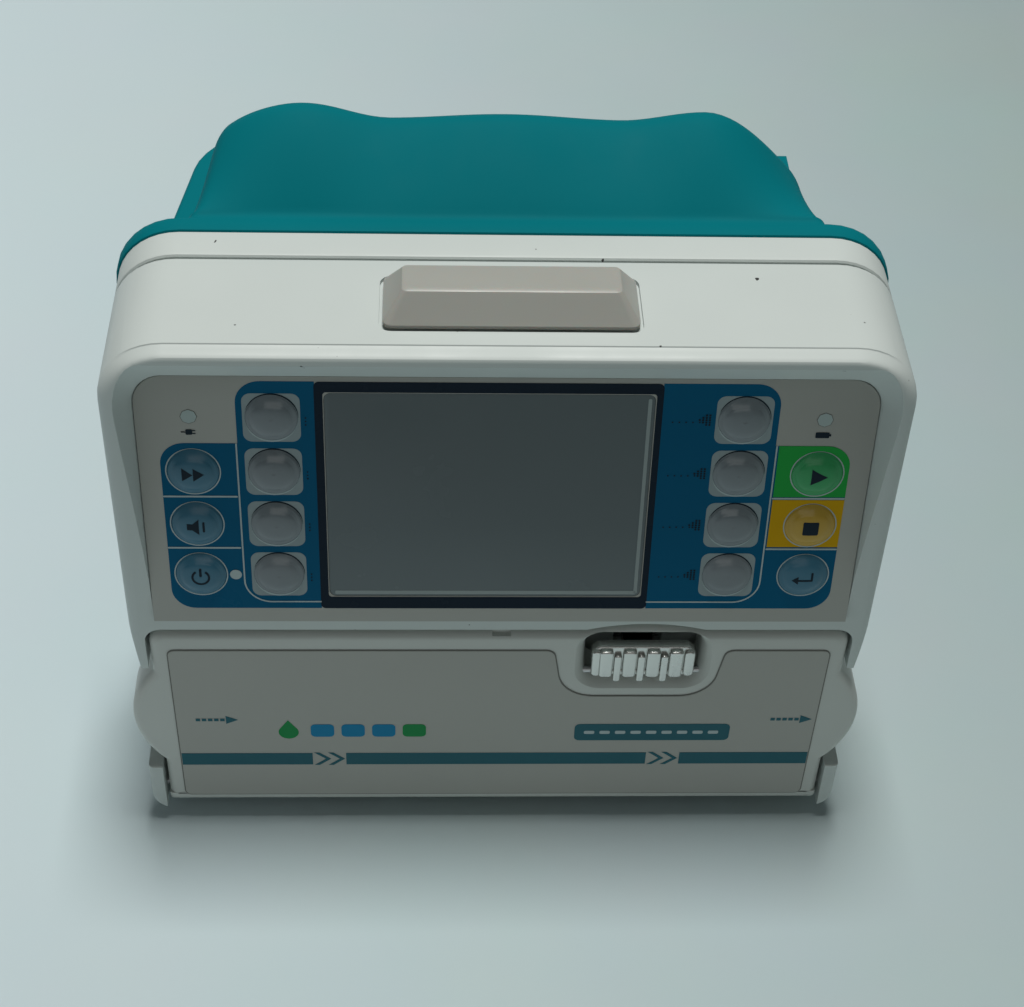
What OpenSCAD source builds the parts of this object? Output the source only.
// Volumetric infusion pump: sloped key panel over a drop-down door, a row of
// pumping fingers behind it, and a rear case with a carrying hump and pole clamp.
// X runs to the pump's right, Y to its back, Z up. The origin lies on the
// surface under the feet, midway between the sides and midway in overall depth.
// The modules below are drawn from a plane 50 mm behind the front face, and
// moved as a whole by centre_y at the end.

/* [Casing] */
// Width of the white housing
body_w = 176; // [174:1:180]
// Height of the housing's flat top above the surface it stands on
top_z = 153.5; // [153:0.5:156]
// Height of the rubber feet
foot_h = 3.5; // [3:0.5:4]
// Radius of the housing's upper corners
corner_r = 15; // [12:1:17]
// Wall thickness of the mouldings
wall = 2.6; // [2:0.2:3]

/* [Key panel] */
// Width of the membrane panel
panel_w = 163; // [160:1:164]
// Length of the membrane panel up its slope
panel_h = 67.4; // [67:0.2:68]
// Lean of the membrane panel from upright, in degrees
panel_tilt = 9; // [8:0.5:10]
// Spacing between the two columns of screen keys
soft_key_gap = 103.4; // [102:0.2:105]
// Spacing between the two outer key columns
side_key_gap = 139; // [138:0.5:141]
// Spacing of the key rows up the slope
key_pitch = 14.2; // [14:0.1:14.4]
// Diameter of one key dome
key_d = 11.2; // [10.5:0.1:11.4]
// Travel of one key
key_travel = 0.5; // [0.3:0.1:0.6]

/* [Screen] */
// Width of the clear screen window
screen_w = 72.6; // [70:0.2:74]
// Height of the clear screen window
screen_h = 55.8; // [54:0.2:57]
// Sideways place of the screen window
screen_x = -4.2; // [-6:0.2:0]

/* [Door] */
// Width of the door between the housing's cheeks
door_w = 167.2; // [166:0.2:168]
// Height of the door's top edge
door_top = 70.3; // [70:0.1:70.6]
// Thickness of the door
door_t = 10; // [9:0.5:10]
// Radius of the rounded ears that cover the tube's way in and out
ear_r = 30; // [29:0.5:31]

/* [Pump drive] */
// Number of pumping fingers
finger_count = 8; // [6:1:8]
// Spacing of the pumping fingers
finger_pitch = 8; // [7:0.5:8]
// Offset of each cam from the camshaft's axis
cam_throw = 1; // [0.5:0.1:1.2]
// Bore radius of the pole clamp's jaws
pole_r = 12.5; // [11:0.5:13]

/* [Hidden] */
$fn = 48;
eps = 0.01;
front_y = -50;             // plane of the door's face and the panel's lower edge
seam_y = -13.1;            // groove between front housing and middle frame
ring_y = -4.3;             // joint between middle frame and rear case
flange_y = 1;              // back of the rear case's rim
rear_y = 52;               // outside of the rear wall
half_w = body_w / 2;
panel_z = 75;              // height of the panel's lower edge
lip_y = -43.2;             // front of the housing's upper edge
lip_out = 3.5;              // how far the lip stands out past the flat top
tube_z = 39.2;             // height of the infusion line and the fingers
pump_face_y = -36.2;       // wall that the line lies against
hinge_y = -44.8;             // door hinge axis
hinge_z = 9.2;
door_face_y = front_y + 0.3;
door_back_y = door_face_y + door_t;
hinge_r = hinge_y - door_face_y;
ear_x = half_w + 2 - ear_r;
latch_x = 34.4;            // middle of the door latch
latch_w = 28;
latch_z = 53.1;            // foot of the latch opening
hook_z = latch_z + 1.8;    // latch pivot
hook_y = -47;
bulge_r = 50;              // arch of the door's top edge over the latch
bulge_rise = 2;
key_hole_r = key_d / 2 + 0.4;
first_row = panel_h - 10.3;
panel_t = 0.8;             // membrane thickness
panel_wall = 3;            // moulded wall behind the membrane
panel_back = panel_t + panel_wall + 0.05;
screen_v = 35.4;           // middle of the screen up the slope
cam_y = -8;                // camshaft axis
cam_r = 5;
shaft_r = 3;
finger_back_y = cam_y - cam_r - cam_throw - 0.4;
finger_h = 12;
finger_gap = 0.6;
finger_row = finger_count * finger_pitch;
bearing_x = 40;
bearing_r = 8;
pulley_x = 50;
pulley_w = 6;
big_pulley_r = 10;
small_pulley_r = 5;
motor_y = 28;
motor_size = 35;
case_front_w = 79.4;         // rear case's half width at the rim
case_back_w = 72;          // and at the rear wall
case_top = 143;
clamp_x = 6;               // pole axis
clamp_y = 75;
clamp_z = 78;              // middle of the pole clamp
clamp_h = 34;
beacon_y = -29.4;          // middle of the alarm beacon
beacon_w = 55;
beacon_d = 17.4;
beacon_h = 7;
beacon_slope = 4.2;
inlet_x = -34;             // mains inlet
inlet_z = 30;

// Middle of the pump's overall depth, measured from the plane it is drawn from
centre_y = 19.4;

// Place children on the panel: X along it, Y up the slope, Z out of its face.
module on_panel() translate([0, front_y, panel_z]) rotate([90 - panel_tilt, 0, 0]) children();

// A prism from a front view outline (X, Z), between two depths.
module from_front(y0, y1) translate([0, y1, 0]) rotate([90, 0, 0]) linear_extrude(y1 - y0) children();

// A prism from a side view outline (Y, Z), between two X values.
module from_side(x0, x1) translate([x0, 0, 0]) rotate([90, 0, 90]) linear_extrude(x1 - x0) children();

// A cylinder along X.
module rod_x(x0, x1, r) translate([x0, 0, 0]) rotate([0, 90, 0]) cylinder(h = x1 - x0, r = r);

// A block centred in X and Y on its place.
module block(size) translate([-size[0] / 2, -size[1] / 2, 0]) cube(size);

// Depth in Y of a point under the panel's face, at a height.
function panel_y(z, depth) =
    front_y + (z - panel_z) * tan(panel_tilt) + depth / cos(panel_tilt);

// A rectangle with round corners, from its low corner.
module round_rect(w, h, r) {
    translate([r, 0]) square([w - 2 * r, h]);
    translate([0, r]) square([w, h - 2 * r]);
    for (x = [r, w - r], y = [r, h - r]) translate([x, y]) circle(r);
}

// Front view of the casing: large upper corners, small lower ones.
module casing_outline(inset = 0) {
    low_r = 6;
    w = half_w - inset;
    lo = foot_h + inset;
    hi = top_z - inset;
    up_r = corner_r - inset;
    dn_r = low_r - inset;
    translate([-w, lo + dn_r]) square([2 * w, hi - lo - up_r - dn_r]);
    translate([-w + up_r, hi - up_r - eps]) square([2 * (w - up_r), up_r + eps]);
    translate([-w + dn_r, lo]) square([2 * (w - dn_r), dn_r + eps]);
    for (s = [-1, 1]) {
        translate([s * (w - up_r), hi - up_r]) circle(up_r);
        translate([s * (w - dn_r), lo + dn_r]) circle(dn_r);
    }
}

// Front view of the door: straight sides, two round ears and the latch arch.
module door_outline(grow = 0) {
    intersection() {
        translate([-door_w / 2 - grow, 0]) square([door_w + 2 * grow, door_top + grow]);
        translate([-half_w, -10]) square([body_w, 120]);
    }
    for (s = [-1, 1]) translate([s * ear_x, tube_z]) circle(ear_r + grow);
    latch_arch(grow);
}

module latch_arch(grow = 0) {
    intersection() {
        translate([latch_x, door_top + bulge_rise - bulge_r]) circle(bulge_r + grow, $fn = 96);
        translate([latch_x - latch_w, door_top - 5]) square([2 * latch_w, 12]);
    }
}

// The key places: name, side (-1 left), column spacing, row from the top.
function key_spot(side, gap, row) = [side * gap / 2, first_row - row * key_pitch];
soft_spots = [for (s = [-1, 1], row = [0:3]) key_spot(s, soft_key_gap, row)];
side_spots = [for (s = [-1, 1], row = [1:3]) key_spot(s, side_key_gap, row)];
key_spots = concat(soft_spots, side_spots);

module panel_cutouts(depth, hole_r, margin) {
    for (p = key_spots) translate([p[0], p[1], -depth]) cylinder(h = depth + 10, r = hole_r);
    translate([screen_x - screen_w / 2 - margin, screen_v - screen_h / 2 - margin, -depth])
        cube([screen_w + 2 * margin, screen_h + 2 * margin, depth + 10]);
}

// ---- casing ----

// Side view of the upper front: a low rim at the foot of the panel, a proud lip at its head.
module brow_profile() polygon([
    [front_y - 0.6, door_top + 0.9], [front_y - 0.6, panel_z], [lip_y - lip_out, top_z - 3.3],
    [lip_y - lip_out, top_z - 1.5], [lip_y, top_z], [seam_y, top_z], [seam_y, door_top + 0.9]
]);

// The flared head of the panel's recess, under the lip.
module brow_flare() polygon([
    [panel_y(top_z - 12, 0), top_z - 12], [lip_y - lip_out - 0.2, top_z - 3.3],
    [front_y - 10, top_z - 3.3], [front_y - 10, top_z - 12]
]);

module brow_hollow() polygon([
    [panel_y(panel_z - 2, 4.6), panel_z - 2], [panel_y(panel_z, panel_back), panel_z],
    [panel_y(top_z - 13, panel_back), top_z - 13], [lip_y + 8, top_z - wall], [seam_y + 1, top_z - wall], [seam_y + 1, panel_z - 2]
]);

module front_housing() color("whitesmoke") difference() {
    union() {
        intersection() {
            from_front(-60, seam_y - 0.4) casing_outline();
            union() {
                from_side(-half_w, half_w) brow_profile();
                // lower frame behind the door, its cheeks and hanging tips
                from_side(-half_w, half_w)
                    translate([pump_face_y, 0]) square([seam_y - pump_face_y, door_top + 2]);
                from_side(-half_w, half_w)
                    translate([front_y + 0.6, 0]) square([20, tube_z - 18.8]);
                from_side(-half_w, half_w)
                    translate([front_y + 0.6, tube_z + 18.8]) square([20, door_top - tube_z - 17]);
                from_side(-half_w, half_w)
                    translate([door_back_y + 0.8, 0]) square([20, door_top]);
            }
        }
    }
    // room for the door and its swing
    from_front(-60, pump_face_y) door_outline(0.8);
    // hollow of the upper part and of the part behind the pump face
    intersection() {
        from_front(-60, 0) casing_outline(wall);
        union() {
            from_side(-half_w, half_w) brow_hollow();
            translate([-half_w, pump_face_y + 2.4, foot_h + wall]) cube([body_w, 60, 68]);
        }
    }
    // recess and openings of the sloped panel
    on_panel() translate([-panel_w / 2, 0, -panel_t]) {
        linear_extrude(20) {
            translate([7, panel_h - 14]) square([panel_w - 14, 14]);
            square([panel_w, panel_h - 7]);
            for (x = [7, panel_w - 7]) translate([x, panel_h - 7]) circle(7);
        }
    }
    from_side(-panel_w / 2 + 4, panel_w / 2 - 4) brow_flare();
    on_panel() panel_cutouts(9, key_hole_r, 2);
    // tapered tips beside the door's neck, and trimmed cheek feet
    for (s = [-1, 1]) from_front(-60, pump_face_y) polygon([
        [s * half_w, door_top + 1], [s * (half_w + 6), door_top + 1],
        [s * (half_w + 6), 50], [s * (half_w - 4.5), 50]
    ]);
    translate([0, front_y, 0]) block([body_w + 4, 24, 5]);
    // opening under the beacon
    translate([0, beacon_y, top_z - 6]) block([46, 10, 12]);
    // finger window, sensor windows and latch slot in the pump face
    translate([0, pump_face_y, tube_z - finger_h / 2 - 0.8])
        block([finger_row + 2, 12, finger_h + 1.6]);
    for (x = [-52, 52]) translate([x, pump_face_y, tube_z - 5.3]) block([14.6, 12, 10.6]);
    translate([latch_x, pump_face_y, hook_z - 3.5]) block([12, 12, 13]);
    // hinge pin sockets in the cheeks
    translate([0, hinge_y, hinge_z]) rod_x(-half_w + 1.2, half_w - 1.2, 1.52);
}

module middle_frame() color("whitesmoke") difference() {
    union() {
        from_front(seam_y + 0.4, ring_y) casing_outline();
        from_front(seam_y - 3, seam_y + 1) casing_outline(wall + 0.3);
    }
    from_front(seam_y - 5, ring_y + 1) casing_outline(wall + 2.2);
}

// Plan view of the rear case: it narrows towards the back, with round rear corners.
module case_plan(inset) {
    r = 12 - inset;
    y1 = rear_y - inset;
    polygon(concat(
        [[-case_front_w + inset, flange_y - 2], [case_front_w - inset, flange_y - 2]],
        [for (a = [0:15:90]) [case_back_w - inset - r + r * cos(a), y1 - r + r * sin(a)]],
        [for (a = [90:15:180]) [-case_back_w + inset + r + r * cos(a), y1 - r + r * sin(a)]]
    ));
}

module case_body(inset) translate([0, 0, foot_h + inset])
    linear_extrude(case_top - foot_h - 2 * inset) case_plan(inset);

// Front view of the carrying hump: two lobes with a saddle between them.
function hump_height(x) = 165.4 + 1.3 * pow(cos(min(abs(x) / 28, 1) * 90), 2)
    + 3.8 * pow(cos(min(abs(abs(x) - 46.5) / 20, 1) * 90), 2)
    - 5.2 * pow(max(abs(x) - 50, 0) / 16.6, 3.6);

module hump_outline(inset) polygon(concat(
    [[71.5 - inset, 130], [71.5 - inset, 148], [68 - inset, 156 - inset]],
    [for (x = [64:-4:-64]) [x * (1 - inset / 66), hump_height(x) - inset]],
    [[-68 + inset, 156 - inset], [-71.5 + inset, 148], [-71.5 + inset, 130]]
));

module hump_profile(inset) polygon([
    [ring_y + 2 + inset, 130], [ring_y + 2 + inset, top_z - inset], [flange_y + 1, top_z - inset],
    [7, 159.4 - inset], [12, 163.6 - inset], [17, 167.1 - inset], [22, 169.3 - inset],
    [24, 169 - inset], [26, 168 - inset], [30, 164.2 - inset], [35 - inset, 155.7],
    [40 - inset, 144.5], [47 - inset, 142], [47 - inset, 130]
]);

module hump(inset) intersection() {
    from_front(-10, 60) hump_outline(inset);
    from_side(-90, 90) hump_profile(inset);
}

module rear_housing() color("teal") difference() {
    union() {
        from_front(ring_y, flange_y) casing_outline(-0.6);
        case_body(0);
        hump(0);
    }
    from_front(ring_y - 1, flange_y - wall) casing_outline(wall);
    case_body(wall);
    translate([0, -4, 0]) case_body(wall);
    // hollow front of the hump
    intersection() {
        hump(wall);
        translate([0, 9, 130]) block([124, 18, 40]);
    }
    // finger recess under the carrying hump, open to the back
    translate([0, 36, case_top + 0.1]) block([92, 30, 14]);
    translate([inlet_x, rear_y, inlet_z - 10.4]) block([28, 12, 20.8]);
    for (x = [-58, 58], z = [13, 128]) translate([x, rear_y - 6, z]) rotate([-90, 0, 0])
        cylinder(h = 10, r = 1.8);
    // speaker slots in the left side
    for (z = [30:5:50]) translate([-74, 22, z]) block([12, 16, 2]);
}

// ---- key panel ----

module key_membrane() color("darkgray") on_panel() difference() {
    translate([-panel_w / 2 + 0.2, 0.2, -panel_t]) linear_extrude(panel_t) {
        square([panel_w - 0.4, panel_h - 7.4]);
        translate([6.8, 0]) square([panel_w - 14, panel_h - 0.4]);
        for (x = [6.8, panel_w - 7.2]) translate([x, panel_h - 7.2]) circle(6.8);
    }
    for (p = key_spots) translate([p[0], p[1], -5]) cylinder(h = 10, r = key_hole_r);
    translate([screen_x - screen_w / 2 - 0.2, screen_v - screen_h / 2 - 0.2, -5])
        cube([screen_w + 0.4, screen_h + 0.4, 10]);
}

module screen_bezel() color("black") on_panel()
    translate([screen_x, screen_v, -panel_t - panel_wall]) difference() {
        translate([-screen_w / 2 - 1.8, -screen_h / 2 - 1.8, 0])
            cube([screen_w + 3.6, screen_h + 3.6, panel_wall - 0.1]);
        translate([-screen_w / 2 + 1, -screen_h / 2 + 1, -1])
            cube([screen_w - 2, screen_h - 2, panel_wall + 2]);
    }

module screen_window() color("dimgray", 0.6) on_panel()
    translate([screen_x - screen_w / 2, screen_v - screen_h / 2, -panel_t])
        linear_extrude(panel_t - 0.2) round_rect(screen_w, screen_h, 1.6);

module screen_module() color("gray") on_panel()
    translate([screen_x - screen_w / 2 - 1, screen_v - screen_h / 2 - 1, -panel_t - panel_wall - 7])
        cube([screen_w + 2, screen_h + 2, 6.9]);

module key_board() color("darkgreen") on_panel() difference() {
    translate([-76, 4, -9]) cube([152, 60, 1.6]);
    translate([screen_x - screen_w / 2 - 2, screen_v - screen_h / 2 - 2, -12])
        cube([screen_w + 4, screen_h + 4, 6]);
}

// A key: a low dome on a plunger, with a collar that stops it behind the wall.
module key(spot, tint) color(tint) on_panel() translate([spot[0], spot[1], 0]) {
    dome_r = 12;
    intersection() {
        translate([0, 0, 1.6 - dome_r]) sphere(dome_r, $fn = 64);
        translate([0, 0, -4.2]) cylinder(h = 8, r = key_d / 2);
    }
    translate([0, 0, -5.4]) cylinder(h = 1.2, r = key_hole_r + 0.9);
}

module beacon_lens() color("lightgray") {
    y0 = beacon_y - beacon_d / 2;
    y1 = beacon_y + beacon_d / 2;
    run = beacon_slope;
    difference() {
        intersection() {
            from_side(-beacon_w / 2, beacon_w / 2) polygon([
                [y0, top_z + 0.05], [y0 + run, top_z + beacon_h], [y1 - run, top_z + beacon_h],
                [y1, top_z + 0.05]
            ]);
            from_front(y0, y1) polygon([
                [-beacon_w / 2, top_z + 0.05], [-beacon_w / 2 + run, top_z + beacon_h],
                [beacon_w / 2 - run, top_z + beacon_h], [beacon_w / 2, top_z + 0.05]
            ]);
        }
        translate([0, beacon_y, top_z - 1]) block([43, 8, 6]);
    }
}

module beacon_board() color("darkgreen") translate([0, beacon_y, top_z - 4]) {
    block([42, 8, 1.6]);
    for (x = [-14, 0, 14]) translate([x, 0, 1.6]) cylinder(h = 5, r = 2.5);
}

// ---- door ----

// Side view of the door body, round about its hinge at the foot.
module door_profile() {
    translate([door_face_y, hinge_z]) square([door_t, 62]);
    translate([hinge_y, hinge_z]) circle(hinge_r);
}

module door_shell() color("gainsboro") difference() {
    intersection() {
        from_side(-half_w - 3, half_w + 3) door_profile();
        from_front(-60, -30) door_outline();
    }
    // hollow back with the platen's pocket
    translate([0, door_back_y, tube_z - 8.5]) block([finger_row + 8, 10, 17]);
    for (s = [-1, 1]) translate([s * 66, door_back_y, tube_z + 9]) block([22, 8, 16]);
    translate([-20, door_back_y, tube_z + 13]) block([60, 8, 14]);
    // latch opening and hinge bore
    translate([latch_x - latch_w / 2, 0, 0]) from_front(-60, -30)
        translate([0, latch_z]) round_rect(latch_w, 16, 2.5);
    translate([0, hinge_y, hinge_z]) rod_x(-half_w, half_w, 1.56);
    // tray for the printed membrane
    from_front(-60, door_face_y + 0.3) door_membrane_outline(0.2);
    translate([0, hook_y, hook_z]) rod_x(latch_x - 18, latch_x + 18, 1.02);
}

module door_membrane_outline(grow) difference() {
    translate([-79.3 - grow, 12 - grow]) square([158.6 + 2 * grow, 52.6 + 2 * grow]);
    polygon([[10, 66], [15.5, 63.6], [19, 60.5], [21, 52], [24.5, 48.2], [44.5, 48.2], [48, 52],
        [50, 60.5], [53.5, 63.6], [60, 66]]);
}

module door_membrane() color("silver")
    from_front(door_face_y - 0.3, door_face_y + 0.3) door_membrane_outline(0);

module door_platen() color("lightgray") translate([0, door_back_y - 1.5, tube_z - 7.5])
    block([finger_row + 5, 3.6, 15]);

module door_hinge_pin() color("silver")
    translate([0, hinge_y, hinge_z]) rod_x(-half_w + 1.4, half_w - 1.4, 1.5);

// Ribbed thumb lever that tips forward about its foot, with the hook behind it.
module latch_lever() color("silver") translate([latch_x, 0, 0]) difference() {
    union() {
        translate([0, hook_y - 0.1, hook_z]) block([25, 3.4, 10.4]);
        for (x = [-9:3:9]) translate([x, hook_y - 2.5, hook_z]) block([1.8, 2.4, 10]);
        translate([0, hook_y, hook_z]) rod_x(-12, 12, 1.6);
        translate([0, hook_y + 6, hook_z - 1.2]) block([8, 12, 2.4]);
    }
    translate([0, hook_y, hook_z]) rod_x(-14, 14, 1.06);
}

module latch_pin() color("silver")
    translate([latch_x, hook_y, hook_z]) rod_x(-17.5, 17.5, 1);

// Catch plate behind the pump face, under the hook.
module latch_striker() color("silver")
    translate([latch_x, pump_face_y + 4, hook_z - 4.4]) block([18, 2, 2.7]);

// ---- pumping mechanism ----

module finger(i) color("ivory") {
    x = (i - (finger_count + 1) / 2) * finger_pitch;
    translate([x, (pump_face_y - 0.2 + finger_back_y) / 2, tube_z - finger_h / 2])
        block([finger_pitch - finger_gap, finger_back_y - pump_face_y + 0.2, finger_h]);
}

module finger_guide() color("dimgray") difference() {
    translate([0, -26, tube_z - 11]) block([finger_row + 16, 14, 22]);
    translate([0, -26, tube_z - finger_h / 2 - 0.4])
        block([finger_row + 0.6, 30, finger_h + 0.8]);
}

module camshaft() color("silver") translate([0, cam_y, tube_z]) {
    rod_x(-bearing_x - 6, pulley_x + pulley_w + 1, shaft_r);
    for (i = [1:finger_count]) {
        x = (i - (finger_count + 1) / 2) * finger_pitch;
        turn = 360 / finger_count * i;
        translate([0, cam_throw * cos(turn), cam_throw * sin(turn)]) rod_x(x - 3.2, x + 3.2, cam_r);
    }
}

module camshaft_bearings() color("silver") for (s = [-1, 1]) difference() {
    translate([s * bearing_x - 2.5, cam_y, tube_z]) rod_x(0, 5, bearing_r);
    translate([s * bearing_x - 3, cam_y, tube_z]) rod_x(0, 6, shaft_r + 0.05);
}

module driven_pulley() color("dimgray") translate([pulley_x, cam_y, tube_z]) difference() {
    rod_x(0, pulley_w, big_pulley_r);
    rod_x(-1, pulley_w + 1, shaft_r + 0.02);
}

module motor_pulley() color("dimgray") translate([0, motor_y, tube_z]) {
    rod_x(36.5, pulley_x + pulley_w + 1, 2.5);
    rod_x(pulley_x, pulley_x + pulley_w, small_pulley_r);
}

// Belt: a loop stretched about both pulleys.
module timing_belt() color("black")
    translate([pulley_x + 0.5, cam_y, tube_z]) rotate([90, 0, 90]) linear_extrude(pulley_w - 1)
        difference() {
            belt_loop(1.6);
            belt_loop(0.4);
        }

module belt_loop(grow) hull() {
    circle(big_pulley_r + grow);
    translate([motor_y - cam_y, 0]) circle(small_pulley_r + grow);
}

module pump_chassis() color("lightsteelblue") difference() {
    union() {
        for (s = [-1, 1]) translate([s * bearing_x, -7, 19.7]) block([4, 24, 36.3]);
        translate([bearing_x, 24, 19.7]) block([4, 44, 36.3]);
        translate([0, 5.5, 19.7]) block([2 * bearing_x + 4, 49, 2.1]);
    }
    translate([-60, cam_y, tube_z]) rod_x(0, 120, bearing_r + 0.02);
    translate([30, motor_y, tube_z]) rod_x(0, 30, 11.1);
}

module stepper_motor() color("dimgray") translate([0, motor_y, tube_z]) difference() {
    union() {
        translate([21, 0, -motor_size / 2 + 0.3]) block([33.8, motor_size - 4, motor_size - 0.6]);
        translate([21, 0, -motor_size / 2 + 2]) block([33.8, motor_size, motor_size - 4]);
        rod_x(37, 41, 11);
    }
    rod_x(36, 60, 3.2);
}

module bubble_sensor() color("white") translate([52, pump_face_y + 5.4, tube_z - 5])
    difference() {
        block([14, 11, 10]);
        translate([0, -5.5, 3.5]) block([20, 2, 3]);
    }

module pressure_sensor() color("white") translate([-52, pump_face_y + 5.4, tube_z - 5]) {
    block([14, 11, 10]);
}

// ---- electronics ----

module main_board() color("darkgreen") {
    translate([0, 4, 66]) block([130, 1.6, 72]);
    for (x = [-40, 0, 34]) translate([x, 6.4, 84]) block([14, 3.1, 14]);
}

module power_supply() color("khaki") translate([-38, 28, 72]) {
    block([52, 34, 1.6]);
    translate([-12, 0, 1.6]) block([22, 26, 24]);
    translate([13, 6, 1.6]) cylinder(h = 26, r = 8);
}

module battery_pack() color("royalblue") translate([30, 28, 68]) {
    for (x = [-18.6, 0, 18.6]) translate([x, 0, 0]) cylinder(h = 65, r = 9.2);
    translate([0, 0, 2]) block([37.2, 10, 61]);
}

module speaker() color("dimgray") translate([-63.5, 22, 40]) {
    rod_x(-3, 0, 13);
    rod_x(0, 7, 9);
}

module mains_inlet() color("black") translate([inlet_x, rear_y, inlet_z]) {
    difference() {
        union() {
            translate([0, -7.2, -10]) block([27, 15, 20]);
            translate([0, 1.3, -12]) block([48, 2.4, 24]);
        }
        translate([0, -4.2, -8.2]) block([24.4, 15.4, 16.4]);
    }
    for (p = [[-7, -2], [0, 2], [7, -2]]) translate([p[0], -6, p[1] - 1]) block([4, 12, 2]);
}

// ---- feet, screws and pole clamp ----

module feet() color("black") for (x = [-60, 60], y = [-24, 38])
    translate([x, y, 0]) cylinder(h = foot_h, r = 7);

module case_screws() color("silver") for (x = [-58, 58], z = [13, 128])
    translate([x, rear_y, z]) rotate([-90, 0, 0]) {
        cylinder(h = 1.6, r = 3);
        translate([0, 0, -10]) cylinder(h = 10.5, r = 1.5);
    }

// Plan view of the clamp: a back plate, a hooked arm round the pole, a screw arm.
module clamp_body() color("dimgray") difference() {
    translate([clamp_x, 0, clamp_z - clamp_h / 2]) {
        translate([4, rear_y + 3, 0]) block([76, 5.8, clamp_h]);
        translate([-18, clamp_y - 3, 0]) block([24, 35, clamp_h]);
        translate([36, clamp_y - 3, 0]) block([12, 35, clamp_h]);
    }
    translate([clamp_x, clamp_y, 0]) cylinder(h = 200, r = pole_r, $fn = 96);
    // square window for the screw and its nut
    translate([clamp_x + 20, clamp_y - 5.4, clamp_z - 5.4]) cube([40, 10.8, 10.8]);
}

module clamp_jaw() color("dimgray") translate([clamp_x, clamp_y, clamp_z]) difference() {
    translate([22, 0, -12]) block([7, 22, 24]);
    rod_x(22, 30, 3.1);
}

module clamp_screw() color("black") translate([clamp_x, clamp_y, clamp_z]) {
    rod_x(23, 29.6, 2.7);
    rod_x(29.4, 58, 5);
    difference() {
        rod_x(56, 70, 14);
        for (a = [0:60:300]) rotate([a, 0, 0]) translate([0, 17, 0]) rod_x(50, 80, 6);
    }
}

translate([0, -centre_y, 0]) {
    front_housing();
    middle_frame();
    rear_housing();
    key_membrane();
    screen_bezel();
    screen_window();
    screen_module();
    key_board();
    key(soft_spots[0], "slategray");  // key_left_1
    key(soft_spots[1], "slategray");  // key_left_2
    key(soft_spots[2], "slategray");  // key_left_3
    key(soft_spots[3], "slategray");  // key_left_4
    key(soft_spots[4], "slategray");  // key_right_1
    key(soft_spots[5], "slategray");  // key_right_2
    key(soft_spots[6], "slategray");  // key_right_3
    key(soft_spots[7], "slategray");  // key_right_4
    key(side_spots[0], "steelblue");  // key_bolus
    key(side_spots[1], "steelblue");  // key_silence
    key(side_spots[2], "steelblue");  // key_power
    key(side_spots[3], "green");  // key_start
    key(side_spots[4], "goldenrod");  // key_stop
    key(side_spots[5], "steelblue");  // key_enter
    beacon_lens();
    beacon_board();
    door_shell();
    door_membrane();
    door_platen();
    door_hinge_pin();
    latch_lever();
    latch_pin();
    latch_striker();
    camshaft();
    driven_pulley();
    camshaft_bearings();
    finger(1);  // finger_1
    finger(2);  // finger_2
    finger(3);  // finger_3
    finger(4);  // finger_4
    finger(5);  // finger_5
    finger(6);  // finger_6
    finger(7);  // finger_7
    finger(8);  // finger_8
    finger_guide();
    pump_chassis();
    stepper_motor();
    motor_pulley();
    timing_belt();
    main_board();
    power_supply();
    battery_pack();
    speaker();
    mains_inlet();
    bubble_sensor();
    pressure_sensor();
    feet();
    case_screws();
    clamp_body();
    clamp_jaw();
    clamp_screw();
}
